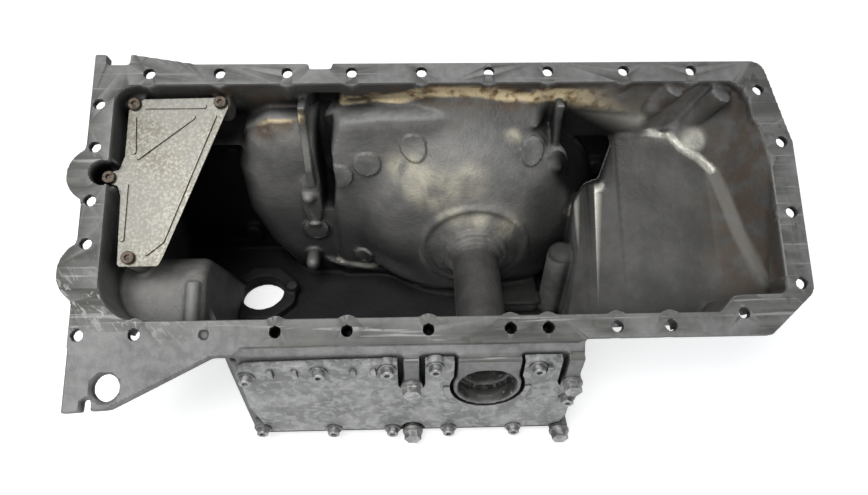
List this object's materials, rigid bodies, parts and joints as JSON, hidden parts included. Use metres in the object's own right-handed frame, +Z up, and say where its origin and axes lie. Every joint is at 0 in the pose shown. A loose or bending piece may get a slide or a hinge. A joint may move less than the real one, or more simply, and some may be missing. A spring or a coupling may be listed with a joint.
{
  "type": "engine oil pan",
  "caption": "Cast aluminium engine oil pan with a slanted gasket flange, half shaft tunnel, differential recess, inside baffle and screwed side cover.",
  "frame": {"origin": "on the flat bottom, straight below the axis of the half shaft tunnel", "axes": "+X along the crankshaft towards the shallow end, +Y towards the differential's side, +Z up; the gasket flange leans 30 degrees towards -Y"},
  "size_m": [0.607, 0.2706, 0.2575],
  "materials": {
    "cast_aluminium": "as cast, machined flange",
    "cover_aluminium": "as cast, worn",
    "gasket_sheet": "matt",
    "baffle_steel": "plated, satin",
    "dark_screw_steel": "oil stained",
    "zinc_steel": "zinc plated",
    "washer_aluminium": "plain"
  },
  "bodies": {
    "root": {"baffle_plate": "baffle_steel", "baffle_screw_1": "dark_screw_steel", "baffle_screw_2": "dark_screw_steel", "baffle_screw_3": "dark_screw_steel", "baffle_screw_4": "dark_screw_steel", "drain_plug": "zinc_steel", "drain_plug_washer": "washer_aluminium", "housing_bolt_1": "zinc_steel", "housing_bolt_2": "zinc_steel", "housing_bolt_3": "zinc_steel", "housing_bolt_4": "zinc_steel", "housing_bolt_washer_1": "zinc_steel", "housing_bolt_washer_2": "zinc_steel", "housing_bolt_washer_3": "zinc_steel", "housing_bolt_washer_4": "zinc_steel", "pan_casting": "cast_aluminium", "side_cover": "cover_aluminium", "side_cover_gasket": "gasket_sheet", "side_cover_screw_01": "zinc_steel", "side_cover_screw_02": "zinc_steel", "side_cover_screw_03": "zinc_steel", "side_cover_screw_04": "zinc_steel", "side_cover_screw_05": "zinc_steel", "side_cover_screw_06": "zinc_steel", "side_cover_screw_07": "zinc_steel", "side_cover_screw_08": "zinc_steel", "side_cover_screw_09": "zinc_steel", "side_cover_screw_10": "zinc_steel", "side_cover_screw_11": "zinc_steel"}
  },
  "joints": []
}
